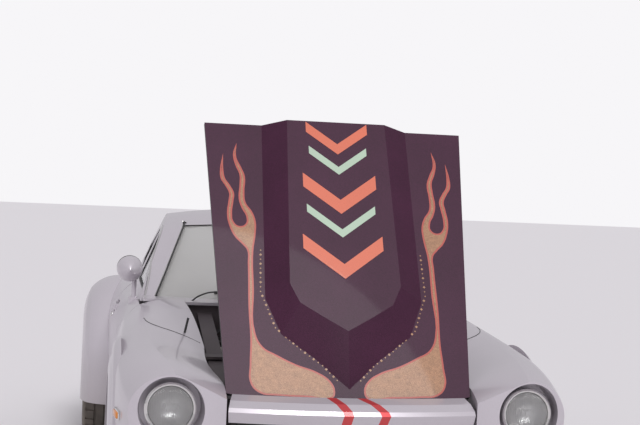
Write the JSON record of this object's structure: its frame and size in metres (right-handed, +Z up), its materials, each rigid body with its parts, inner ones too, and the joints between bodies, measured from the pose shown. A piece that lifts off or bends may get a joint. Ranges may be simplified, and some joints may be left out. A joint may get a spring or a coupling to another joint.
{
  "type": "sports coupe car",
  "caption": "Two-door fastback sports car with wide rear wheel flares and its long front-hinged hood raised; doors, hatch, steering and wheels move.",
  "frame": {"origin": "on the ground under the middle of the car's length and width", "axes": "+X forward, +Y to the car's left, +Z up"},
  "size_m": [4.1149, 1.9, 1.6742],
  "materials": {
    "body_paint": "pale silver with a cool cast, semi-gloss",
    "hood_paint": "dark plum black with flake, gloss",
    "window_glass": "clear, slightly green",
    "chrome_trim": "polished",
    "lamp_glass": "fluted lens in a bright ring",
    "lamp_red": "moulded lens",
    "trim_black": "satin",
    "seat_vinyl": "soft grain",
    "underbody_paint": "dull",
    "cast_metal": "as cast",
    "radiator_core": "dull black",
    "exhaust_steel": "dull",
    "wheel_alloy": "cast and machined",
    "tyre": "matt"
  },
  "bodies": {
    "body": {"front_fender_left": "body_paint", "front_fender_right": "body_paint", "rear_quarter_left": "body_paint", "rear_quarter_right": "body_paint", "roof_shell": "body_paint", "nose_panel": "body_paint", "front_valance": "body_paint", "cowl_panel": "body_paint", "tail_panel": "body_paint", "firewall": "body_paint", "engine_bay": "body_paint", "sills": "body_paint", "windshield": "window_glass", "quarter_windows": "window_glass", "front_bumper": "chrome_trim", "rear_bumper": "chrome_trim", "headlamps": "lamp_glass", "tail_lamps": "lamp_red", "grille": "trim_black", "dashboard": "trim_black", "seats": "seat_vinyl", "floor_pan": "underbody_paint", "load_floor": "underbody_paint", "fuel_tank": "underbody_paint", "front_suspension": "underbody_paint", "rear_suspension": "underbody_paint", "engine": "cast_metal", "radiator": "radiator_core", "exhaust": "exhaust_steel"},
    "hood": {"hood": "hood_paint"},
    "door_left": {"door_left": "body_paint", "door_glass_left": "window_glass", "mirror_left": "body_paint"},
    "door_right": {"door_right": "body_paint", "door_glass_right": "window_glass", "mirror_right": "body_paint"},
    "hatch": {"hatch": "body_paint", "hatch_glass": "window_glass"},
    "knuckle_left": {"knuckle_left": "cast_metal"},
    "knuckle_right": {"knuckle_right": "cast_metal"},
    "wheel_front_left": {"rim_front_left": "wheel_alloy", "tyre_front_left": "tyre"},
    "wheel_front_right": {"rim_front_right": "wheel_alloy", "tyre_front_right": "tyre"},
    "wheel_rear_left": {"rim_rear_left": "wheel_alloy", "tyre_rear_left": "tyre"},
    "wheel_rear_right": {"rim_rear_right": "wheel_alloy", "tyre_rear_right": "tyre"},
    "steering_wheel": {"steering_wheel": "trim_black"}
  },
  "joints": [
    {"name": "hood_hinge", "type": "hinge", "parent": "body", "child": "hood", "pos_m": [1.83171, 0, 0.68888], "axis": [0, 1, 0], "range_deg": [-48.87, 0]},
    {"name": "door_left_hinge", "type": "hinge", "parent": "body", "child": "door_left", "pos_m": [0.6155, 0.812, 0.6], "axis": [0, 0, -1], "range_deg": [0, 68]},
    {"name": "door_right_hinge", "type": "hinge", "parent": "body", "child": "door_right", "pos_m": [0.6155, -0.812, 0.6], "axis": [0, 0, 1], "range_deg": [0, 68]},
    {"name": "hatch_hinge", "type": "hinge", "parent": "body", "child": "hatch", "pos_m": [-0.9065, 0, 1.256], "axis": [0, 1, 0], "range_deg": [0, 70]},
    {"name": "steer_left", "type": "hinge", "parent": "body", "child": "knuckle_left", "pos_m": [1.2675, 0.57, 0.315], "axis": [0, 0, 1], "range_deg": [-32, 32]},
    {"name": "steer_right", "type": "hinge", "parent": "body", "child": "knuckle_right", "pos_m": [1.2675, -0.57, 0.315], "axis": [0, 0, 1], "range_deg": [-32, 32]},
    {"name": "spin_front_left", "type": "hinge", "parent": "knuckle_left", "child": "wheel_front_left", "pos_m": [1.2675, 0.7135, 0.315], "axis": [0, 1, 0], "continuous": true},
    {"name": "spin_front_right", "type": "hinge", "parent": "knuckle_right", "child": "wheel_front_right", "pos_m": [1.2675, -0.7135, 0.315], "axis": [0, 1, 0], "continuous": true},
    {"name": "spin_rear_left", "type": "hinge", "parent": "body", "child": "wheel_rear_left", "pos_m": [-1.0375, 0.817, 0.315], "axis": [0, 1, 0], "continuous": true},
    {"name": "spin_rear_right", "type": "hinge", "parent": "body", "child": "wheel_rear_right", "pos_m": [-1.0375, -0.817, 0.315], "axis": [0, 1, 0], "continuous": true},
    {"name": "steering_wheel_turn", "type": "hinge", "parent": "body", "child": "steering_wheel", "pos_m": [0.1475, 0.362, 0.77], "axis": [-0.9272, 0, 0.3746], "range_deg": [-448, 448]}
  ],
  "couplings": [
    {"joint": "steer_right", "follows": "steer_left", "ratio": 1},
    {"joint": "steering_wheel_turn", "follows": "steer_left", "ratio": 14}
  ]
}
